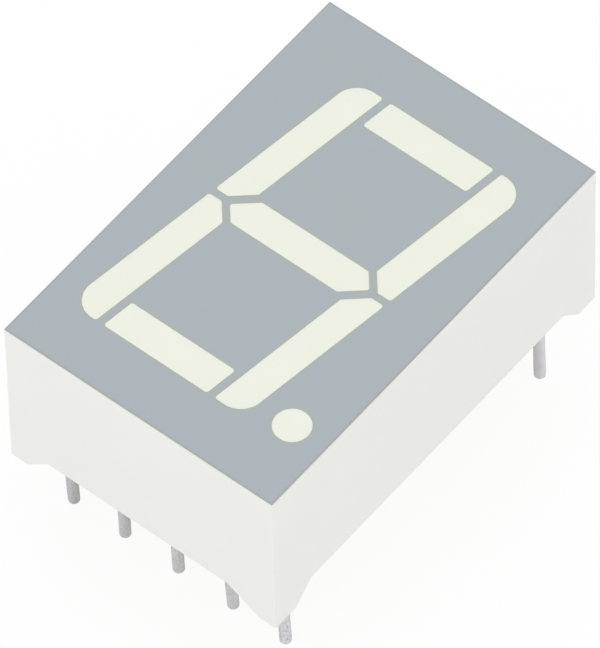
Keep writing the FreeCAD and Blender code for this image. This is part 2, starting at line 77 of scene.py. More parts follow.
MM = 0.001
BODY = "root"
LIGHT_TAGS = ("a", "b", "c", "d", "e", "f", "g", "point")
WHITE: Colour = (1.0, 1.0, 1.0, 1.0)
EVEN: Triple = (1.0, 1.0, 1.0)
UNIT: Span = (0.0, 1.0)

# Band that nearly all values of a noise texture lie in.
NOISE_BAND: Span = (0.3, 0.7)

# Places of a Mix node's colour sockets, which share their names with its other sockets.
MIX_SHARE, MIX_FIRST, MIX_SECOND, MIX_RESULT = 0, 6, 7, 2

# Distances under which a point is on a level, two corners are one, and two points merge.
ON_LEVEL = 1e-3
SAME_CORNER = 1e-4
MERGED = 1e-7

# Evenly turned directions in which an outline's farthest point is sought.
DIRECTIONS = 1440

# Waves of an uneven skin: slowest and fastest change along the axis, in radians to a millimetre.
WAVE_RATES: Span = (0.6, 3.5)

# One wave after another takes 0, 1, 2 and again 0 whole turns round the axis.
WAVE_TURNS = 3

# Full lead of a node's large faces over its small ones in its smooth shading.
LARGE_FACES_LEAD = 100

log = logging.getLogger("display")


class Shading(Enum):
    """How a surface is shaded."""

    FACETED = "faceted"
    SMOOTH = "smooth"


def linear(red: int, green: int, blue: int) -> Colour:
    """Turn a colour as seen on a screen into the renderer's linear light.

    A share of full brightness up to 0.04045 is divided by 12.92. To a larger one 0.055 is added,
    and the sum is divided by 1.055 and raised to the power 2.4.

    Args:
        red: Red from 0 to 255.
        green: Green from 0 to 255.
        blue: Blue from 0 to 255.

    Returns:
        The linear colour with an alpha of one.
    """
    channels = []
    for level in (red, green, blue):
        share = level / 255
        channels.append(share / 12.92 if share <= 0.04045 else ((share + 0.055) / 1.055) ** 2.4)
    return (channels[0], channels[1], channels[2], 1.0)


def scaled(colour: Colour, gain: float) -> Colour:
    """A linear colour darkened or lightened by a factor, its alpha kept."""
    return (colour[0] * gain, colour[1] * gain, colour[2] * gain, colour[3])


class Graph:
    """One node material, with coordinates in millimetres at hand."""

    def __init__(self, name: str) -> None:
        """Start a material that holds a Principled shader.

        Args:
            name: Name of the material.
        """
        self.material = bpy.data.materials.new(name)
        self.material.use_nodes = True
        self.tree = self.material.node_tree
        self.shader = self.tree.nodes["Principled BSDF"]
        coordinates = self.tree.nodes.new("ShaderNodeTexCoord")
        mapping = self.tree.nodes.new("ShaderNodeMapping")
        mapping.inputs["Scale"].default_value = (1 / MM, 1 / MM, 1 / MM)
        self.link(coordinates.outputs["Object"], mapping.inputs["Vector"])
        self.place = mapping.outputs["Vector"]

    def link(self, source: Socket, target: Socket) -> None:
        """Join two sockets."""
        self.tree.links.new(source, target)

    def feed(self, target: Socket, value: Input) -> None:
        """Give a socket either another socket's output or a constant.

        Args:
            target: The socket to feed.
            value: Output socket or constant.
        """
        if isinstance(value, Socket):
            self.link(value, target)
        else:
            target.default_value = value

    def set(self, **values: Input) -> None:
        """Set inputs of the shader, named with underscores for spaces."""
        for name, value in values.items():
            self.feed(self.shader.inputs[name.replace("_", " ")], value)

    def maths(self, operation: str, first: Input, second: Input = 0.0) -> Socket:
        """Work out one number from two.

        Args:
            operation: Name of the Math node's operation.
            first: First number or socket.
            second: Second number or socket.

        Returns:
            The result's socket.
        """
        node = self.tree.nodes.new("ShaderNodeMath")
        node.operation = operation
        self.feed(node.inputs[0], first)
        self.feed(node.inputs[1], second)
        return node.outputs[0]

    def stretched(self, stretch: Triple) -> Socket:
        """Squeeze the coordinates, and so stretch what is drawn on them.

        Args:
            stretch: Factor on the coordinates along each axis.

        Returns:
            Socket of the squeezed coordinates, in millimetres.
        """
        node = self.tree.nodes.new("ShaderNodeMapping")
        node.inputs["Scale"].default_value = stretch
        self.link(self.place, node.inputs["Vector"])
        return node.outputs["Vector"]

    def noise(self, per_mm: float, detail: float = 3.0, roughness: float = 0.55,
              stretch: Triple = EVEN) -> Socket:
        """Cloudy variation.

        Args:
            per_mm: How many blotches there are to a millimetre.
            detail: Octaves of finer noise.
            roughness: Strength of the finer octaves.
            stretch: Factor on the coordinates along each axis.

        Returns:
            Socket with values about 0.5.
        """
        node = self.tree.nodes.new("ShaderNodeTexNoise")
        node.inputs["Scale"].default_value = per_mm
        node.inputs["Detail"].default_value = detail
        node.inputs["Roughness"].default_value = roughness
        self.link(self.stretched(stretch), node.inputs["Vector"])
        return node.outputs["Fac"]

    def seams(self, per_mm: float, stretch: Triple = EVEN) -> Socket:
        """Distance to the nearest seam of a net of irregular cells.

        Args:
            per_mm: How many cells there are to a millimetre.
            stretch: Factor on the coordinates along each axis.

        Returns:
            Socket with 0 on a seam and more inside a cell.
        """
        node = self.tree.nodes.new("ShaderNodeTexVoronoi")
        node.feature = "DISTANCE_TO_EDGE"
        node.inputs["Scale"].default_value = per_mm
        self.link(self.stretched(stretch), node.inputs["Vector"])
        return node.outputs["Distance"]

    def remap(self, value: Socket, span: Span, band: Span = UNIT) -> Socket:
        """Carry the values of a band over to a span in proportion, clamped.

        Args:
            value: Socket of the values.
            span: What the band's two ends become.
            band: The two ends of the band.

        Returns:
            Socket of the carried values.
        """
        node = self.tree.nodes.new("ShaderNodeMapRange")
        for name, number in zip(("From Min", "From Max", "To Min", "To Max"), (*band, *span)):
            node.inputs[name].default_value = number
        self.link(value, node.inputs["Value"])
        return node.outputs["Result"]

    def share(self, value: Socket, band: Span = NOISE_BAND) -> Socket:
        """How far a value has come through a band, from 0 to 1."""
        return self.remap(value, UNIT, band)

    def blend(self, share: Input, first: Input, second: Input) -> Socket:
        """Mix two colours.

        Args:
            share: Weight of the second colour, from 0 to 1.
            first: Colour or socket at weight 0.
            second: Colour or socket at weight 1.

        Returns:
            Socket of the mixed colour.
        """
        node = self.tree.nodes.new("ShaderNodeMix")
        node.data_type = "RGBA"
        self.feed(node.inputs[MIX_SHARE], share)
        self.feed(node.inputs[MIX_FIRST], first)
        self.feed(node.inputs[MIX_SECOND], second)
        return node.outputs[MIX_RESULT]

    def relief(self, height: Socket, depth: float) -> None:
        """Raise the surface in the light by a height map.

        Args:
            height: Heights from 0 to 1.
            depth: What a height of 1 stands for, in millimetres.
        """
        node = self.tree.nodes.new("ShaderNodeBump")
        node.inputs["Strength"].default_value = 1.0
        node.inputs["Distance"].default_value = depth * MM
        self.link(height, node.inputs["Height"])
        self.link(node.outputs["Normal"], self.shader.inputs["Normal"])

    def attribute(self, name: str) -> Socket:
        """Read a number that the piece's own mesh holds.

        Args:
            name: Name of the attribute.

        Returns:
            Socket of the number.
        """
        node = self.tree.nodes.new("ShaderNodeAttribute")
        node.attribute_name = name
        return node.outputs["Fac"]

    def axes(self) -> tuple[Socket, Socket, Socket]:
        """Take the coordinates apart.

        Returns:
            X, Y and Z of the surface point, in millimetres.
        """
        node = self.tree.nodes.new("ShaderNodeSeparateXYZ")
        self.link(self.place, node.inputs[0])
        return node.outputs[0], node.outputs[1], node.outputs[2]


@dataclass(frozen=True)
class Finish:
    """A finish that a surface can have, with the colour that it starts from."""

    colour: Colour

    def material(self, name: str) -> bpy.types.Material:
        """Make a material that has this finish.

        Args:
            name: Name of the material.

        Returns:
            The new material.
        """
        graph = Graph(name)
        self.paint(graph)
        return graph.material

    def paint(self, graph: Graph) -> None:
        """Add the finish's own nodes to a graph; each finish says how."""
        raise NotImplementedError


@dataclass(frozen=True)
class MouldedPlastic(Finish):
    """White moulded thermoplastic with the fine matt skin of a spark-eroded mould."""

    roughness: Span = (0.45, 0.39)
    grain_per_mm: float = 14.0
    grain_depth: float = 0.0012
    cloud_per_mm: float = 0.22
    cloud_gain: float = 0.975
    glow: float = 0.08
    glow_radius: Triple = (0.5, 0.48, 0.42)
    glow_depth: float = 0.3

    def paint(self, graph: Graph) -> None:
        """Cloud the colour and the gloss, let some light in and roughen the skin.

        Args:
            graph: The material's graph.
        """
        clouds = graph.share(graph.noise(self.cloud_per_mm, detail=4.0))
        graph.set(Base_Color=graph.blend(clouds, scaled(self.colour, self.cloud_gain), self.colour))
        graph.set(Roughness=graph.remap(clouds, self.roughness))
        graph.set(Subsurface_Weight=self.glow, Subsurface_Radius=self.glow_radius)
        graph.set(Subsurface_Scale=self.glow_depth * MM)
        graph.relief(graph.noise(self.grain_per_mm, detail=2.0), self.grain_depth)


@dataclass(frozen=True)
class PrintedInk(Finish):
    """Screen-printed grey ink: faintly patchy in hue, with painted shade along its outer edge, olive where
    thin.
    """

    patch_colour: Colour
    shaded_edge_colour: Colour
    thin_colour: Colour
    half_width: float
    half_length: float
    thin_attribute: str = "thinness"
    edge_band: float = 0.11
    mottle_per_mm: float = 0.6
    mottle_band: Span = (0.42, 0.62)
    roughness: Span = (0.48, 0.54)
    grain_per_mm: float = 9.0
    grain_depth: float = 0.0018

    def paint(self, graph: Graph) -> None:
        """Mottle the ink, paint shade along the field's outer edge and tint it where it is thin.

        The distance in from the nearer edge is the smaller of half width less |x| and half length
        less |y|. Inside the edge band the painted shade grows in proportion towards the edge. The mesh says
        how thin it is.

        Args:
            graph: The material's graph.
        """
        across, along, _ = graph.axes()
        from_side = graph.maths("SUBTRACT", self.half_width, graph.maths("ABSOLUTE", across))
        from_end = graph.maths("SUBTRACT", self.half_length, graph.maths("ABSOLUTE", along))
        inward = graph.maths("MINIMUM", from_side, from_end)
        mottle = graph.share(graph.noise(self.mottle_per_mm, detail=5.0, roughness=0.65), self.mottle_band)
        mottled = graph.blend(mottle, self.colour, self.patch_colour)
        # Painted shade: the ink darkens towards the field's outer edge.
        edge_shade_share = graph.remap(inward, (1.0, 0.0), (0.0, self.edge_band))
        edge_shaded = graph.blend(edge_shade_share, mottled, self.shaded_edge_colour)
        graph.set(Base_Color=graph.blend(graph.attribute(self.thin_attribute), edge_shaded, self.thin_colour))
        graph.set(Roughness=graph.remap(mottle, self.roughness))
        graph.relief(graph.noise(self.grain_per_mm), self.grain_depth)


@dataclass(frozen=True)
class DiffusingResin(Finish):
    """Milky epoxy that fills a light funnel: cream, with a painted highlight that whitens it along its rim.
    """

    rim_highlight_colour: Colour
    rim_highlight_attribute: str = "rim"
    haze_per_mm: float = 0.5
    haze_gain: float = 0.985
    roughness: Span = (0.32, 0.28)
    glow: float = 0.15
    glow_radius: Triple = (0.6, 0.6, 0.45)
    glow_depth: float = 0.4
    swell_per_mm: float = 1.4
    swell_depth: float = 0.0006

    def paint(self, graph: Graph) -> None:
        """Haze the resin, paint a highlight along its rim, let light in and leave the skin faintly wavy.

        Args:
            graph: The material's graph.
        """
        haze = graph.share(graph.noise(self.haze_per_mm))
        body = graph.blend(haze, scaled(self.colour, self.haze_gain), self.colour)
        # Painted highlight: the colour whitens towards each bar's rim.
        graph.set(Base_Color=graph.blend(graph.attribute(self.rim_highlight_attribute), body, self.rim_highlight_colour))
        graph.set(Roughness=graph.remap(haze, self.roughness))
        graph.set(Subsurface_Weight=self.glow, Subsurface_Radius=self.glow_radius)
        graph.set(Subsurface_Scale=self.glow_depth * MM)
        graph.relief(graph.noise(self.swell_per_mm, detail=1.0), self.swell_depth)


@dataclass(frozen=True)
class TinnedMetal(Finish):
    """Metal with a dipped tin skin: mottled, streaked along the wire, netted with seams, flecked."""

    dark_gain: float = 0.88
    seam_gain: float = 0.5
    fleck_gain: float = 0.6
    darkening_gain: float = 0.5
    roughness: Span = (0.34, 0.58)
    streak: float = 0.35
    relief_depth: float = 0.008
    metallic: float = 0.75
    darkening_attribute: str = "darkening"
    wear_attribute: str = "wear"
    patch_per_mm: float = 4.5
    patch_band: Span = (0.34, 0.66)
    cell_per_mm: float = 8.0
    cell_stretch: Triple = (1.0, 1.0, 0.6)
    seam_width: float = 0.12
    seam_share: float = 0.5
    fleck_per_mm: float = 9.0
    fleck_band: Span = (0.6, 0.7)
    skin_per_mm: float = 7.0

    def paint(self, graph: Graph) -> None:
        """Mottle the tin, darken it, draw its seams and flecks and roughen its skin.

        The mesh says how far a piece is darkened, and how strongly its seams and flecks show.

        Args:
            graph: The material's graph.
        """
        along = (1.0, 1.0, self.streak)
        patches = graph.noise(self.patch_per_mm, detail=6.0, roughness=0.75, stretch=along)
        patches = graph.share(patches, self.patch_band)
        undarkened = graph.blend(patches, scaled(self.colour, self.dark_gain), self.colour)
        # Each piece's colour is darkened by the share that its mesh gives.
        darkest = scaled(self.colour, self.dark_gain * self.darkening_gain)
        darkened = graph.blend(patches, darkest, scaled(self.colour, self.darkening_gain))
        skinned = graph.blend(graph.attribute(self.darkening_attribute), undarkened, darkened)
        wear = graph.attribute(self.wear_attribute)
        seams = graph.seams(self.cell_per_mm, self.cell_stretch)
        seams = graph.remap(seams, (self.seam_share, 0.0), (0.0, self.seam_width))
        seams = graph.maths("MULTIPLY", wear, seams)
        skinned = graph.blend(seams, skinned, scaled(self.colour, self.seam_gain))
        flecks = graph.noise(self.fleck_per_mm, detail=2.0, roughness=0.6, stretch=along)
        flecks = graph.maths("MULTIPLY", wear, graph.share(flecks, self.fleck_band))
        graph.set(Base_Color=graph.blend(flecks, skinned, scaled(self.colour, self.fleck_gain)))
        skin = graph.noise(self.skin_per_mm, roughness=0.6, stretch=along)
        graph.set(Roughness=graph.remap(skin, self.roughness, NOISE_BAND))
        graph.set(Metallic=self.metallic)
        graph.relief(skin, self.relief_depth)


@dataclass(frozen=True)
class WovenLaminate(Finish):
    """Glass-fibre board: a square weave showing through pale green-yellow resin."""

    thread_pitch: float = 0.42
    thread_gain: float = 0.86
    spot_per_mm: float = 1.1
    spot_band: Span = (0.35, 0.7)
    spot_share: float = 0.5
    spot_gain: float = 0.8
    roughness: Span = (0.3, 0.42)
    relief_depth: float = 0.002

    def paint(self, graph: Graph) -> None:
        """Weave the cloth and stain it with spots.

        The weave is the product of two sines, one along X and one along Y, a thread apart.

        Args:
            graph: The material's graph.
        """
        across, along, _ = graph.axes()
        turns = math.tau / self.thread_pitch
        warp = graph.maths("SINE", graph.maths("MULTIPLY", across, turns))
        weft = graph.maths("SINE", graph.maths("MULTIPLY", along, turns))
        weave = graph.share(graph.maths("MULTIPLY", warp, weft), (-1.0, 1.0))
        cloth = graph.blend(weave, scaled(self.colour, self.thread_gain), self.colour)
        spots = graph.noise(self.spot_per_mm, detail=5.0)
        spots = graph.remap(spots, (0.0, self.spot_share), self.spot_band)
        graph.set(Base_Color=graph.blend(spots, cloth, scaled(self.colour, self.spot_gain)))
        graph.set(Roughness=graph.remap(weave, self.roughness))
        graph.relief(weave, self.relief_depth)


@dataclass(frozen=True)
class DrawnMetal(Finish):
    """Bare drawn or etched metal with a fine brushed grain."""

    roughness: Span
    grain_per_mm: float = 18.0
    grain_gain: float = 0.8
    grain_depth: float = 0.0006

    def paint(self, graph: Graph) -> None:
        """Draw one grain in colour, gloss and relief.

        Args:
            graph: The material's graph.
        """
        grain = graph.noise(self.grain_per_mm)
        graph.set(Base_Color=graph.blend(grain, scaled(self.colour, self.grain_gain), self.colour))
        graph.set(Roughness=graph.remap(grain, self.roughness, NOISE_BAND))
        graph.set(Metallic=1.0)
        graph.relief(grain, self.grain_depth)


@dataclass(frozen=True)
class ChipCrystal(Finish):
    """Sawn semiconductor die: dark and half glossy, with saw marks that run up its sides."""

    saw_per_mm: float = 30.0
    saw_stretch: Triple = (1.0, 1.0, 0.2)
    saw_gain: float = 0.7
    saw_depth: float = 0.001
    roughness: Span = (0.12, 0.3)

    def paint(self, graph: Graph) -> None:
        """Draw the saw marks in colour, gloss and relief.

        Args:
            graph: The material's graph.
        """
        saw = graph.noise(self.saw_per_mm, detail=2.0, roughness=0.5, stretch=self.saw_stretch)
        graph.set(Base_Color=graph.blend(saw, scaled(self.colour, self.saw_gain), self.colour))
        graph.set(Roughness=graph.remap(saw, self.roughness, NOISE_BAND))
        graph.relief(saw, self.saw_depth)


@dataclass(frozen=True)
class SealingResin(Finish):
    """Half-clear amber resin with a glossy skin."""

    swirl_per_mm: float = 1.6
    swirl_gain: float = 0.92
    swirl_depth: float = 0.002
    roughness: Span = (0.08, 0.16)
    clearness: float = 0.25
    refraction: float = 1.5

    def paint(self, graph: Graph) -> None:
        """Draw the swirls of the pour in colour, gloss and relief, and let light through.

        Args:
            graph: The material's graph.
        """
        swirl = graph.noise(self.swirl_per_mm)
        graph.set(Base_Color=graph.blend(swirl, scaled(self.colour, self.swirl_gain), self.colour))
        graph.set(Roughness=graph.remap(swirl, self.roughness, NOISE_BAND))
        graph.set(Transmission_Weight=self.clearness, IOR=self.refraction)
        graph.relief(swirl, self.swirl_depth)


def write_mesh(name: str, points: np.ndarray, faces: Faces, shading: Shading) -> bpy.types.Object:
    """Make an object at the origin from points in millimetres.

    Args:
        name: Name of the piece.
        points: Corner positions, one row each.
        faces: Corner numbers of each face, turning left seen from outside.
        shading: Whether the surface is shaded smooth.

    Returns:
        The new object, linked to the scene.
    """
    mesh = bpy.data.meshes.new(name)
    mesh.from_pydata((points * MM).tolist(), [], faces)
    mesh.polygons.foreach_set("use_smooth", np.full(len(mesh.polygons), shading is Shading.SMOOTH))
    mesh.validate()
    mesh.update()
    piece = bpy.data.objects.new(name, mesh)
    bpy.context.scene.collection.objects.link(piece)
    return piece


def write_attribute(piece: bpy.types.Object, name: str, values: np.ndarray | float) -> None:
    """Give every point of a piece's mesh a number that its material reads.

    Args:
        piece: The piece.
        name: Name of the attribute.
        values: A number for each point, or one for all.
    """
    attribute = piece.data.attributes.new(name, "FLOAT", "POINT")
    count = len(piece.data.vertices)
    attribute.data.foreach_set("value", np.full(count, values, dtype=np.float32))


def ring_faces(rings: int, around: int, start: int = 0) -> Faces:
    """Four-cornered faces between neighbouring closed rings.

    Corner j of ring i is number start + i * around + j. Each face joins corners j and j + 1 of one
    ring to those of the next, and the last corner of a ring to its first.

    Args:
        rings: How many rings there are.
        around: How many corners each ring has.
        start: Number of the first corner.

    Returns:
        The faces, turning left seen from outside where rings turn left and later rings lie higher.
    """
    ring, corner = np.meshgrid(np.arange(rings - 1), np.arange(around), indexing="ij")
    here = start + ring * around + corner
    beside = start + ring * around + (corner + 1) % around
    quads = np.stack([here, beside, beside + around, here + around], axis=-1).reshape(-1, 4)
    return [tuple(quad) for quad in quads.tolist()]


def capped_faces(rings: int, around: int) -> Faces:
    """Faces of a closed body of rings: its side, and one flat face over each end.

    Args:
        rings: How many rings there are, the lowest first.
        around: How many corners each ring has.

    Returns:
        The faces, turning left seen from outside.
    """
    bottom = tuple(range(around - 1, -1, -1))
    top = tuple(range((rings - 1) * around, rings * around))
    return [*ring_faces(rings, around), bottom, top]


def lathe(profile: np.ndarray, path: np.ndarray, swell: np.ndarray) -> np.ndarray:
    """Surface of a profile turned about a gently bent axis.

    Point (i, j) lies at the axis point i, plus radius i times swell (i, j) in direction j, where the
    directions divide a turn evenly.

    Args:
        profile: Radius of each ring, in millimetres.
        path: Axis point of each ring, one row each.
        swell: Factor on the radius for each ring and direction.

    Returns:
        Points as one row each, ring after ring.
    """
    around = swell.shape[1]
    turn = np.linspace(0.0, math.tau, around, endpoint=False)
    spokes = np.stack([np.cos(turn), np.sin(turn), np.zeros(around)], axis=-1)
    reach = profile[:, None] * swell
    return (path[:, None, :] + reach[:, :, None] * spokes[None, :, :]).reshape(-1, 3)


def ripple(heights: np.ndarray, around: int, seed: int, size: float, waves: int = 5) -> np.ndarray:
    """Gentle unevenness of a dipped surface, as factors up to one.

    Each of a few waves is a cosine of a whole number of turns round the axis plus a rate along it,
    with a seeded phase; one less than their mean, times the size, is added to one.

    Args:
        heights: Place of each ring along the axis, in millimetres.
        around: Number of directions.
        seed: Seed that makes one piece unlike another.
        size: Half of the largest change, as a share of the radius.
        waves: Number of waves.

    Returns:
        Factor for each ring and direction.
    """
    chance = np.random.default_rng(seed)
    turn = np.linspace(0.0, math.tau, around, endpoint=False)
    total = np.zeros((len(heights), around))
    for order in range(waves):
        rate = chance.uniform(*WAVE_RATES)
        phase = chance.uniform(0.0, math.tau)
        total += np.cos((order % WAVE_TURNS) * turn[None, :] + rate * heights[:, None] + phase)
    return 1.0 + size * (total / waves - 1.0)


def turned_piece(name: str, profile: np.ndarray, path: np.ndarray, swell: np.ndarray) -> bpy.types.Object:
    """Make a closed, smooth piece of the surface that lathe works out, its lowest ring first."""
    return write_mesh(name, lathe(profile, path, swell), capped_faces(*swell.shape), Shading.SMOOTH)


def node_points(node: str) -> np.ndarray:
    """Read the mesh of a model node.

    Args:
        node: Name of the node.

    Returns:
        Its corner positions, in millimetres, one row each.
    """
    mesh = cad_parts[node].data
    flat = np.empty(len(mesh.vertices) * 3)
    mesh.vertices.foreach_get("co", flat)
    return flat.reshape(-1, 3) / MM


def node_box(node: str) -> tuple[np.ndarray, np.ndarray]:
    """Lowest and highest corner of a model node, in millimetres."""
    low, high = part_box(node)
    return np.array(low) / MM, np.array(high) / MM


def coat(piece: bpy.types.Object, material: bpy.types.Material) -> None:
    """Give a piece one material in place of what it has."""
    piece.data.materials.clear()
    piece.data.materials.append(material)


def dress_node(node: str, material: bpy.types.Material, sharp_degrees: float = 28.0) -> None:
    """Coat a model node, shade its rounded faces smoothly and keep its edges crisp.

    Args:
        node: Name of the node.
        material: Its new material.
        sharp_degrees: Bend past which an edge stays crisp.
    """
    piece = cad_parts[node]
    mesh = piece.data
    mesh.polygons.foreach_set("use_smooth", np.ones(len(mesh.polygons), dtype=bool))
    weld = piece.modifiers.new("weld", "WELD")
    weld.merge_threshold = MERGED
    split = piece.modifiers.new("crisp", "EDGE_SPLIT")
    split.split_angle = math.radians(sharp_degrees)
    level = piece.modifiers.new("level", "WEIGHTED_NORMAL")
    level.weight = LARGE_FACES_LEAD
    coat(piece, material)
    log.info("%s dressed", node)


def stand_in(piece: bpy.types.Object, node: str, material: bpy.types.Material) -> None:
    """Coat a new piece and put it in a node's place.

    Args:
        piece: The new piece.
        node: Name of the model node that it replaces.
        material: Its material.
    """
    coat(piece, material)
    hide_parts(node)
    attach(piece, BODY)
    log.info("%s made in place of %s", piece.name, node)


def light_node(tag: str) -> str:
    """Name of the model node of a bar or the point."""
    return "decimal_point" if tag == "point" else f"segment_{tag}"


def outline_at(node: str, level: float) -> np.ndarray:
    """Outline of a node at a level, turning left.

    The points farthest out in each of many evenly turned directions make up the outline, which
    curves outwards everywhere.

    Args:
        node: Name of the node.
        level: Height of the wanted points, in millimetres.

    Returns:
        The outline's corners, one row each.
    """
    points = node_points(node)
    flat = points[np.abs(points[:, 2] - level) < ON_LEVEL][:, :2]
    turn = np.linspace(0.0, math.tau, DIRECTIONS, endpoint=False)
    farthest = np.argmax(flat @ np.stack([np.cos(turn), np.sin(turn)]), axis=0)
    corners = flat[farthest]
    moved = np.linalg.norm(corners - np.roll(corners, 1, axis=0), axis=1) > SAME_CORNER
    return corners[moved]


def inset(corners: np.ndarray, depth: float) -> np.ndarray:
    """Outline drawn in by a depth, or out by a negative one.

    Each corner moves along the inward bisector of its two sides by the depth over the cosine of
    half the turn there.

    Args:
        corners: Outline, turning left.
        depth: Distance inwards, in millimetres.

    Returns:
        The new outline.
    """
    ahead = np.roll(corners, -1, axis=0) - corners
    ahead /= np.linalg.norm(ahead, axis=1)[:, None]
    behind = np.roll(ahead, 1, axis=0)
    inward = np.stack([-(ahead + behind)[:, 1], (ahead + behind)[:, 0]], axis=1)
    inward /= np.linalg.norm(inward, axis=1)[:, None]
    cosine = np.abs(inward[:, 0] * -ahead[:, 1] + inward[:, 1] * ahead[:, 0])
    return corners + inward * (depth / cosine)[:, None]


def at_level(outline: np.ndarray, level: float) -> np.ndarray:
    """An outline's corners as points at a height."""
    return np.column_stack([outline, np.full(len(outline), level)])


def length_shares(corners: np.ndarray) -> np.ndarray:
    """Share of a closed outline's length before each corner, and 1 for the return to the first."""
    steps = np.linalg.norm(np.diff(np.vstack([corners, corners[:1]]), axis=0), axis=1)
    return np.concatenate([[0.0], np.cumsum(steps)]) / steps.sum()


def resampled(corners: np.ndarray, shares: np.ndarray) -> np.ndarray:
    """Points of a closed outline at shares of its length, by straight-line interpolation.

    Args:
        corners: The outline.
        shares: Shares of its length, from 0 to 1.

    Returns:
        The points, one row each.
    """
    closed = np.vstack([corners, corners[:1]])
    lengths = length_shares(corners)
    return np.stack([np.interp(shares, lengths, closed[:, axis]) for axis in (0, 1)], axis=1)


def started_towards(corners: np.ndarray, towards: np.ndarray) -> np.ndarray:
    """Number an outline anew from the corner that lies most nearly in a direction.

    The corner with the least turn between the direction and its own, seen from the outline's mean
    point, comes first.

    Args:
        corners: The outline.
        towards: The direction.

    Returns:
        The same corners from their new start.
    """
    reach = corners - corners.mean(axis=0)
    angles = np.arctan2(reach[:, 1], reach[:, 0]) - math.atan2(towards[1], towards[0])
    turns = np.abs(np.angle(np.exp(1j * angles)))
    return np.roll(corners, -int(np.argmin(turns)), axis=0)


def fill_between(field_corners: np.ndarray, openings: list[np.ndarray]) -> np.ndarray:
    """Triangles of a flat field with openings in it.

    The field is triangulated along all its edges, and a triangle is dropped if its middle lies on
    the inner side of every edge of one opening, which curves outwards everywhere.

    Args:
        field_corners: Outer outline, turning left.
        openings: Outlines of the openings, turning left.

    Returns:
        Corner numbers of the triangles, turning left, counted through the field and the openings.
    """
    loops = [field_corners, *openings]
    points = np.vstack(loops)
    edges: list[tuple[int, int]] = []
    for loop in loops:
        here = len(edges) + np.arange(len(loop))
        edges += list(zip(here.tolist(), np.roll(here, -1).tolist()))
    # Kind 0 asks for all triangles within the convex hull.
    found = delaunay_2d_cdt([Vector(point) for point in points], edges, [], 0, MERGED)
    _, _, triangles, sources, _, _ = found
    numbers = np.array([ids[0] for ids in sources])
    corners = numbers[np.array(triangles)]
    middles = points[corners].mean(axis=1)
    kept = np.ones(len(corners), dtype=bool)
    for loop in openings:
        sides = np.roll(loop, -1, axis=0) - loop
        reach = middles[:, None, :] - loop[None, :, :]
        turned = sides[None, :, 0] * reach[:, :, 1] - sides[None, :, 1] * reach[:, :, 0]
        kept &= ~np.all(turned > 0, axis=1)
    return corners[kept]


@dataclass
class PrintedMask:
    """The grey printed field of the face: a thin closed layer whose ink thins out at every opening."""

    node: str = "face_print"
    thin_steps: tuple[float, ...] = (0.14, 0.09, 0.045, 0.0)
    thin_shade: tuple[float, ...] = (0.0, 0.45, 0.85, 1.0)

    def build(self, ink: bpy.types.Material) -> None:
        """Make the layer and put it in place of its node.

        Round each opening, rings at shrinking distances lead over the top to the opening's edge and
        down its wall. Flat triangles fill the rest of the top, and the whole bottom.

        Args:
            ink: Material of the ink.
        """
        low, high = node_box(self.node)
        field_corners = np.array([low[:2], [high[0], low[1]], high[:2], [low[0], high[1]]])
        openings = [outline_at(light_node(tag), high[2]) for tag in LIGHT_TAGS]
        outer = len(field_corners)
        blocks = [at_level(field_corners, low[2]), at_level(field_corners, high[2])]
        thinness = [np.zeros(2 * outer)]
        faces = ring_faces(2, outer)
        upper = [np.arange(outer, 2 * outer)]
        lower = [np.arange(outer)]
        start = 2 * outer
        for edge in openings:
            count = len(edge)
            rings = [at_level(inset(edge, -step), high[2]) for step in self.thin_steps]
            rings.append(at_level(edge, low[2]))
            blocks += rings
            thinness += [np.full(count, shade) for shade in (*self.thin_shade, 1.0)]
            faces += ring_faces(len(rings), count, start)
            upper.append(start + np.arange(count))
            lower.append(start + (len(rings) - 1) * count + np.arange(count))
            start += len(rings) * count
        widest = [inset(edge, -self.thin_steps[0]) for edge in openings]
        top = np.concatenate(upper)[fill_between(field_corners, widest)]
        bottom = np.concatenate(lower)[fill_between(field_corners, openings)]
        faces += [tuple(corners) for corners in top.tolist()]
        faces += [tuple(corners[::-1]) for corners in bottom.tolist()]
        piece = write_mesh("face_ink", np.vstack(blocks), faces, Shading.FACETED)
        write_attribute(piece, PrintedInk.thin_attribute, np.concatenate(thinness))
        stand_in(piece, self.node, ink)


@dataclass
class Housing:
    """The white moulding and the printed mask on its face."""

    white: Colour = linear(240, 241, 236)
    grey: Colour = linear(170, 178, 185)
    grey_patch: Colour = linear(171, 179, 183)
    # Colour of the painted shade along the printed field's outer edge.
    grey_edge_shade: Colour = linear(165, 168, 168)
    grey_thin: Colour = linear(173, 178, 171)

    def build(self) -> None:
        """Dress the moulding and make its print."""
        dress_node("reflector_housing", MouldedPlastic(self.white).material("moulded_white"))
        low, high = node_box(PrintedMask.node)
        half = (high - low) / 2
        ink = PrintedInk(self.grey, self.grey_patch, self.grey_edge_shade, self.grey_thin, half[0], half[1])
        PrintedMask().build(ink.material("printed_grey"))


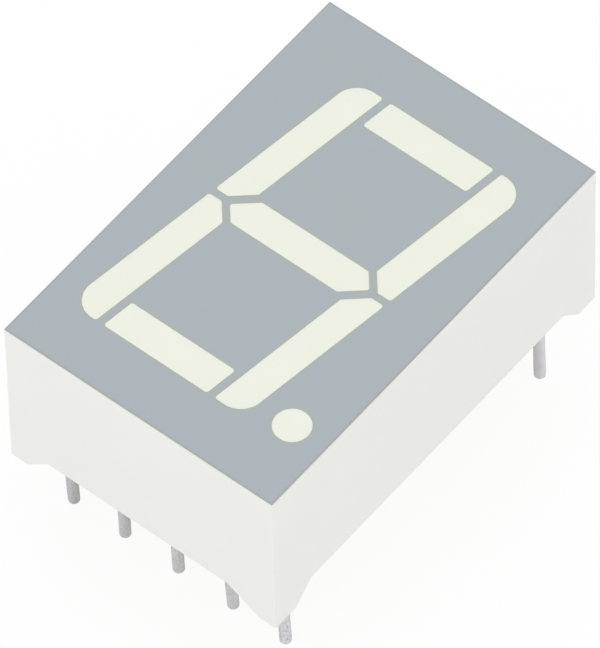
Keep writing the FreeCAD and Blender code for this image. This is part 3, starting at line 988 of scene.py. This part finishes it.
@dataclass
class LightPipe:
    """One bar or the point of the digit: a tapered block of resin with a slightly sunken rim."""

    node: str
    rim_steps: tuple[float, ...] = (0.0, 0.02, 0.045, 0.08, 0.12)
    rim_dip: float = 0.012
    rim_width: float = 0.03
    # Share of the painted highlight on each ring of the top, from the rim inwards.
    rim_highlight: tuple[float, ...] = (0.5, 0.5, 0.4, 0.25, 0.0)

    def build(self, resin: bpy.types.Material) -> None:
        """Make the pipe from its small end up to its flat top, and put it in place of its node.

        Rings climb from the small outline to the large one in even shares, then go inwards over the
        top while dipping by rim_dip times the exponential of minus inset over rim_width.

        Args:
            resin: Material of the resin.
        """
        low, high = node_box(self.node)
        top = outline_at(self.node, high[2])
        count = len(top)
        foot = started_towards(outline_at(self.node, low[2]), top[0] - (low[:2] + high[:2]) / 2)
        rings = [at_level(resampled(foot, length_shares(top)[:-1]), low[2])]
        for depth in self.rim_steps:
            fall = self.rim_dip * math.exp(-depth / self.rim_width)
            rings.append(at_level(inset(top, depth), high[2] - fall))
        faces = capped_faces(len(rings), count)
        piece = write_mesh(f"{self.node}_resin", np.vstack(rings), faces, Shading.FACETED)
        shade = np.concatenate([np.zeros(count), np.repeat(self.rim_highlight, count)])
        write_attribute(piece, DiffusingResin.rim_highlight_attribute, shade)
        stand_in(piece, self.node, resin)


@dataclass
class Pin:
    """A round tinned pin, dipped unevenly and bent a hair off its axis."""

    number: int
    lean: float
    darkening: float
    wear: float
    around: int = 40
    rings: int = 90
    tip_rings: int = 12
    tip_round: float = 0.11
    lean_power: float = 1.5
    unevenness: float = 0.03

    def build(self, tin: bpy.types.Material) -> None:
        """Make the pin and put it in place of its node.

        The radius follows a quarter circle over the tip and is constant above it. The axis leaves
        the upright by the lean times a power of the share of the way down from the feet to the tip.
        The unevenness grows over the tip from none to its full size.

        Args:
            tin: Material of the pin.
        """
        node = f"pin_{self.number}"
        low, high = node_box(node)
        middle = (low + high) / 2
        radius = (high[0] - low[0]) / 2
        tip = self.tip_round * (1 - np.cos(np.linspace(0.0, math.pi / 2, self.tip_rings)))
        shank = np.linspace(self.tip_round, high[2] - low[2], self.rings)[1:]
        rise = np.concatenate([tip, shank])
        heights = low[2] + rise
        over = np.clip(1 - rise / self.tip_round, 0.0, 1.0)
        profile = radius - self.tip_round * (1 - np.sqrt(1 - over ** 2))
        depth = np.clip(heights / low[2], 0.0, 1.0)
        across = middle[0] + self.lean * depth ** self.lean_power
        path = np.column_stack([across, np.full(len(rise), middle[1]), heights])
        swell = ripple(heights, self.around, self.number, self.unevenness)
        swell = 1.0 + (swell - 1.0) * np.clip(rise / self.tip_round, 0.0, 1.0)[:, None]
        piece = turned_piece(f"{node}_tinned", profile, path, swell)
        write_attribute(piece, TinnedMetal.darkening_attribute, self.darkening)
        write_attribute(piece, TinnedMetal.wear_attribute, self.wear)
        stand_in(piece, node, tin)


@dataclass
class SolderJoint:
    """A hollow-sided cone of solder that wets a pin and its land."""

    number: int
    around: int = 48
    rings: int = 24
    hollow_power: float = 2.6
    unevenness: float = 0.05
    seed_start: int = 40

    def build(self, solder: bpy.types.Material) -> None:
        """Make the joint and put it in place of its node.

        Going down from the land, the radius falls from the outer to the inner one as the share of
        the height left, raised to a power, so the side is hollow.

        Args:
            solder: Material of the joint.
        """
        node = f"solder_joint_{self.number}"
        low, high = node_box(node)
        pin_low, pin_high = node_box(f"pin_{self.number}")
        middle = (low + high) / 2
        inner = (pin_high[0] - pin_low[0]) / 2
        outer = (high[0] - low[0]) / 2
        share = np.linspace(0.0, 1.0, self.rings)
        profile = inner + (outer - inner) * share ** self.hollow_power
        heights = low[2] + (high[2] - low[2]) * share
        path = np.column_stack([np.tile(middle[:2], (self.rings, 1)), heights])
        swell = ripple(heights, self.around, self.seed_start + self.number, self.unevenness)
        swell = np.minimum(1.0 + (swell - 1.0) * share[:, None], outer / profile[:, None])
        piece = turned_piece(f"{node}_wetted", profile, path, swell)
        write_attribute(piece, TinnedMetal.wear_attribute, 1.0)
        stand_in(piece, node, solder)


@dataclass
class Digit:
    """The eight light pipes with the chips and wires inside them."""

    # The resin's second colour is the painted highlight along each bar's rim.
    resin: DiffusingResin = DiffusingResin(linear(239, 242, 228), linear(243, 246, 241))
    chip: ChipCrystal = ChipCrystal(linear(120, 52, 44))
    wire: DrawnMetal = DrawnMetal(linear(238, 200, 112), (0.16, 0.32))

    def build(self) -> None:
        """Make every light pipe and dress what is cast into it."""
        resin = self.resin.material("milky_resin")
        chip = self.chip.material("chip_crystal")
        wire = self.wire.material("gold_wire")
        for tag in LIGHT_TAGS:
            LightPipe(light_node(tag)).build(resin)
            dress_node(f"led_chip_{tag}", chip)
            dress_node(f"bond_wire_{tag}", wire)


@dataclass
class Board:
    """The circuit board with its copper and the bead that seals it in."""

    laminate: WovenLaminate = WovenLaminate(linear(196, 192, 146))
    copper: DrawnMetal = DrawnMetal(linear(214, 160, 120), (0.26, 0.42))
    bead: SealingResin = SealingResin(linear(226, 208, 160))

    def build(self) -> None:
        """Dress the board, its tracks and lands, and the bead."""
        dress_node("circuit_board", self.laminate.material("woven_laminate"))
        copper = self.copper.material("etched_copper")
        for tag in (*LIGHT_TAGS, "common"):
            dress_node(f"track_{tag}", copper)
        dress_node("resin_bead", self.bead.material("clear_bead"))


@dataclass
class PinField:
    """The ten pins and their solder joints, with each pin's lean, darkening and wear in order."""

    tin: TinnedMetal = TinnedMetal(linear(250, 249, 254))
    solder: TinnedMetal = TinnedMetal(
        linear(226, 226, 230), dark_gain=0.82, seam_gain=0.8, fleck_gain=0.8, roughness=(0.1, 0.34),
        streak=1.0, relief_depth=0.005, metallic=1.0)
    leans: tuple[float, ...] = (0.12, 0.05, 0.08, 0.15, 0.11, 0.07, 0.04, 0.09, 0.02, 0.06)
    # Share by which each pin's colour is darkened, pin by pin.
    darkenings: tuple[float, ...] = (0.38, 0.26, 0.09, 0.08, 0.02, 0.09, 0.15, 0.1, 0.2, 0.3)
    wears: tuple[float, ...] = (1.2, 0.4, 0.7, 0.7, 1.05, 0.1, 0.5, 0.9, 0.7, 1.1)

    def build(self) -> None:
        """Make every pin and its joint."""
        tin = self.tin.material("dipped_tin")
        solder = self.solder.material("bright_solder")
        traits = zip(self.leans, self.darkenings, self.wears)
        for number, (lean, darkening, wear) in enumerate(traits, start=1):
            Pin(number, lean, darkening, wear).build(tin)
            SolderJoint(number).build(solder)


@dataclass
class Studio:
    """Plain white floor, even surrounding light and two large soft lamps."""

    surround: float = 0.95
    lamp_size: float = 260.0
    lamp_distance: float = 520.0
    lamp_rise: float = 12.0
    lamps: tuple[tuple[str, float, float], ...] = (("left_lamp", -25.0, 0.39), ("right_lamp", 105.0, 0.3))
    floor_half: float = 1500.0
    floor_shade: float = 0.8
    shadow_share: float = 0.09

    def build(self) -> None:
        """Light the scene and lay the floor under the pin tips."""
        self.world()
        self.floor()
        for name, azimuth, watts in self.lamps:
            self.lamp(name, azimuth, watts)

    def world(self) -> None:
        """Even light from all round; the camera, glossy and clear surfaces see white."""
        world = bpy.data.worlds.new("studio")
        world.use_nodes = True
        tree = world.node_tree
        paths = tree.nodes.new("ShaderNodeLightPath")
        seen = paths.outputs["Is Camera Ray"]
        for ray in ("Is Glossy Ray", "Is Transmission Ray"):
            either = tree.nodes.new("ShaderNodeMath")
            either.operation = "MAXIMUM"
            tree.links.new(seen, either.inputs[0])
            tree.links.new(paths.outputs[ray], either.inputs[1])
            seen = either.outputs[0]
        strength = tree.nodes.new("ShaderNodeMapRange")
        strength.inputs["To Min"].default_value = self.surround
        strength.inputs["To Max"].default_value = 1.0
        tree.links.new(seen, strength.inputs["Value"])
        background = tree.nodes["Background"]
        background.inputs["Color"].default_value = WHITE
        tree.links.new(strength.outputs["Result"], background.inputs["Strength"])
        bpy.context.scene.world = world

    def floor(self) -> None:
        """White floor at the pin tips that keeps a faint shadow.

        Rays from the camera see a fixed share of a white surface in the studio's light and the rest
        as plain white light; all other rays see a pale matt surface.
        """
        low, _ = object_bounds()
        half = self.floor_half
        square = np.array([[-half, -half], [half, -half], [half, half], [-half, half]])
        piece = write_mesh("floor", at_level(square, low[2] / MM), [(0, 1, 2, 3)], Shading.FACETED)
        material = bpy.data.materials.new("white_floor")
        material.use_nodes = True
        tree = material.node_tree
        tree.nodes.clear()
        paths = tree.nodes.new("ShaderNodeLightPath")
        glow = tree.nodes.new("ShaderNodeEmission")
        glow.inputs["Strength"].default_value = 1.0
        lit = tree.nodes.new("ShaderNodeBsdfDiffuse")
        lit.inputs["Color"].default_value = WHITE
        pale = tree.nodes.new("ShaderNodeBsdfDiffuse")
        pale.inputs["Color"].default_value = (*(self.floor_shade,) * 3, 1.0)
        seen = tree.nodes.new("ShaderNodeMixShader")
        seen.inputs[0].default_value = self.shadow_share
        tree.links.new(glow.outputs[0], seen.inputs[1])
        tree.links.new(lit.outputs[0], seen.inputs[2])
        choice = tree.nodes.new("ShaderNodeMixShader")
        tree.links.new(paths.outputs["Is Camera Ray"], choice.inputs[0])
        tree.links.new(pale.outputs[0], choice.inputs[1])
        tree.links.new(seen.outputs[0], choice.inputs[2])
        output = tree.nodes.new("ShaderNodeOutputMaterial")
        tree.links.new(choice.outputs[0], output.inputs["Surface"])
        coat(piece, material)
        piece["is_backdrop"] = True

    def lamp(self, name: str, azimuth: float, watts: float) -> None:
        """Hang one large square lamp that faces the origin.

        Args:
            name: Name of the lamp.
            azimuth: Degrees round from the digit's lower side towards its right.
            watts: Power of the lamp.
        """
        data = bpy.data.lights.new(name, "AREA")
        data.size = self.lamp_size * MM
        data.energy = watts
        lamp = bpy.data.objects.new(name, data)
        turn, rise = math.radians(azimuth), math.radians(self.lamp_rise)
        towards = Vector((math.sin(turn) * math.cos(rise), -math.cos(turn) * math.cos(rise), math.sin(rise)))
        lamp.location = towards * self.lamp_distance * MM
        lamp.rotation_mode = "QUATERNION"
        lamp.rotation_quaternion = towards.to_track_quat("Z", "Y")
        bpy.context.scene.collection.objects.link(lamp)


@dataclass
class PhotoCamera:
    """A long lens at the photograph's angle; pixel places are in its frame."""

    azimuth: float = 40.08
    elevation: float = 54.78
    roll: float = -1.46
    origin_pixel: Span = (304.3, 374.8)
    pixels_per_mm: float = 26.894
    distance: float = 474.0
    nearest_share: float = 0.2
    farthest_share: float = 20.0
    frame_pixels: tuple[int, int] = (600, 648)

    def build(self) -> None:
        """Place the camera so that the origin falls on its pixel at the right scale."""
        a, e, r = (math.radians(angle) for angle in (self.azimuth, self.elevation, self.roll))
        back = Vector((math.sin(a) * math.cos(e), -math.cos(a) * math.cos(e), math.sin(e)))
        level = Vector((math.cos(a), math.sin(a), 0.0))
        upward = back.cross(level)
        right = level * math.cos(r) + upward * math.sin(r)
        up = upward * math.cos(r) - level * math.sin(r)
        shift_x = (self.origin_pixel[0] - self.frame_pixels[0] / 2) / self.pixels_per_mm
        shift_y = (self.frame_pixels[1] / 2 - self.origin_pixel[1]) / self.pixels_per_mm
        data = bpy.data.cameras.new("photo_camera")
        data.lens = self.pixels_per_mm * self.distance * data.sensor_width / max(self.frame_pixels)
        data.clip_start = self.distance * MM * self.nearest_share
        data.clip_end = self.distance * MM * self.farthest_share
        camera = bpy.data.objects.new("photo_camera", data)
        turn = Matrix((right, up, back)).transposed()
        spot = (back * self.distance - right * shift_x - up * shift_y) * MM
        camera.matrix_world = Matrix.Translation(spot) @ turn.to_4x4()
        bpy.context.scene.collection.objects.link(camera)
        bpy.context.scene.camera = camera


def main() -> None:
    """Build the display's looks in order, then the studio and camera."""
    logging.basicConfig(level=logging.INFO, format="%(name)s: %(message)s")
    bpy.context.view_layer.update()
    for assembly in (Housing(), Digit(), Board(), PinField(), Studio(), PhotoCamera()):
        assembly.build()
        log.info("%s built", type(assembly).__name__)
    bpy.context.scene.view_settings.view_transform = "Standard"
    bpy.context.view_layer.update()


if __name__ == "__main__":
    main()
